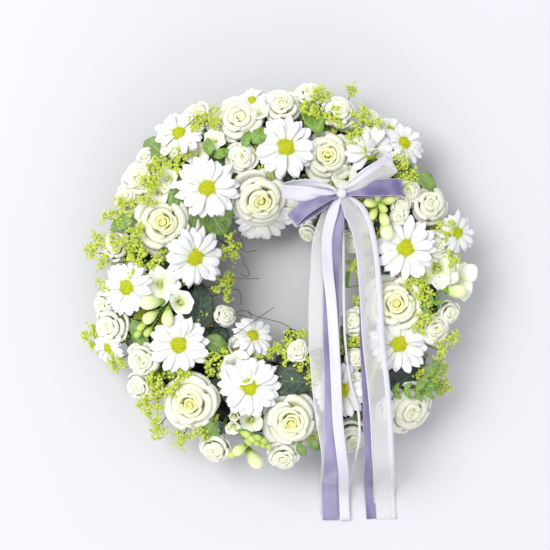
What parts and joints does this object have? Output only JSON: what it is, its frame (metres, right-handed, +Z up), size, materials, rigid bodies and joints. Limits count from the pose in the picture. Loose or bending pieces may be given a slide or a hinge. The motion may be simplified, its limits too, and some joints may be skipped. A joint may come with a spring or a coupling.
{
  "type": "funeral wreath",
  "caption": "Round funeral wreath of white daisies, cream roses and lime florets on a foam ring, with a lavender and white ribbon bow and long tails.",
  "frame": {"origin": "middle of the whole part's box, on the surface that the tray and the ribbon ends lie on", "axes": "+Z up out of the ring's face, through its hole; +Y towards the top of the wreath; the ribbon tails run towards -Y; +X to the right as seen from above"},
  "size_m": [0.4518, 0.5086, 0.1217],
  "materials": {
    "rose_petal": "matte",
    "daisy_petal": "matte",
    "daisy_disc": "matte",
    "freesia_petal": "matte",
    "bud_green": "matte",
    "ladys_mantle": "matte",
    "bright_leaf": "satin",
    "dark_leaf": "satin",
    "stem_green": "satin",
    "twig": "matte",
    "pick_wood": "matte",
    "tray_plastic": "satin",
    "wet_foam": "matte",
    "white_satin": "satin",
    "lavender_satin": "satin",
    "sheer_organza": "satin"
  },
  "bodies": {
    "root": {"bow_knot": "white_satin", "bow_pick": "pick_wood", "daisy_1": "daisy_petal", "daisy_10": "daisy_petal", "daisy_11": "daisy_petal", "daisy_12": "daisy_petal", "daisy_13": "daisy_petal", "daisy_14": "daisy_petal", "daisy_2": "daisy_petal", "daisy_3": "daisy_petal", "daisy_4": "daisy_petal", "daisy_5": "daisy_petal", "daisy_6": "daisy_petal", "daisy_7": "daisy_petal", "daisy_8": "daisy_petal", "daisy_9": "daisy_petal", "foam_ring": "wet_foam", "freesia_1": "freesia_petal", "freesia_2": "freesia_petal", "ladys_mantle_1": "ladys_mantle", "ladys_mantle_2": "ladys_mantle", "ladys_mantle_3": "ladys_mantle", "ladys_mantle_4": "ladys_mantle", "leaf_broad": "bright_leaf", "leaf_ivy": "dark_leaf", "leaf_long": "dark_leaf", "leaf_rolled": "dark_leaf", "loop_lavender_left": "lavender_satin", "loop_lavender_right": "lavender_satin", "loop_white_left": "white_satin", "loop_white_right": "white_satin", "rose_large_1": "rose_petal", "rose_large_2": "rose_petal", "rose_large_3": "rose_petal", "rose_large_4": "rose_petal", "rose_large_5": "rose_petal", "rose_large_6": "rose_petal", "rose_small_1": "rose_petal", "rose_small_10": "rose_petal", "rose_small_11": "rose_petal", "rose_small_12": "rose_petal", "rose_small_13": "rose_petal", "rose_small_14": "rose_petal", "rose_small_15": "rose_petal", "rose_small_16": "rose_petal", "rose_small_2": "rose_petal", "rose_small_3": "rose_petal", "rose_small_4": "rose_petal", "rose_small_5": "rose_petal", "rose_small_6": "rose_petal", "rose_small_7": "rose_petal", "rose_small_8": "rose_petal", "rose_small_9": "rose_petal", "tail_lavender_left": "lavender_satin", "tail_lavender_right": "lavender_satin", "tail_narrow_white": "white_satin", "tail_organza_left": "sheer_organza", "tail_organza_right": "sheer_organza", "tail_satin_white": "white_satin", "tray_ring": "tray_plastic"}
  },
  "joints": []
}
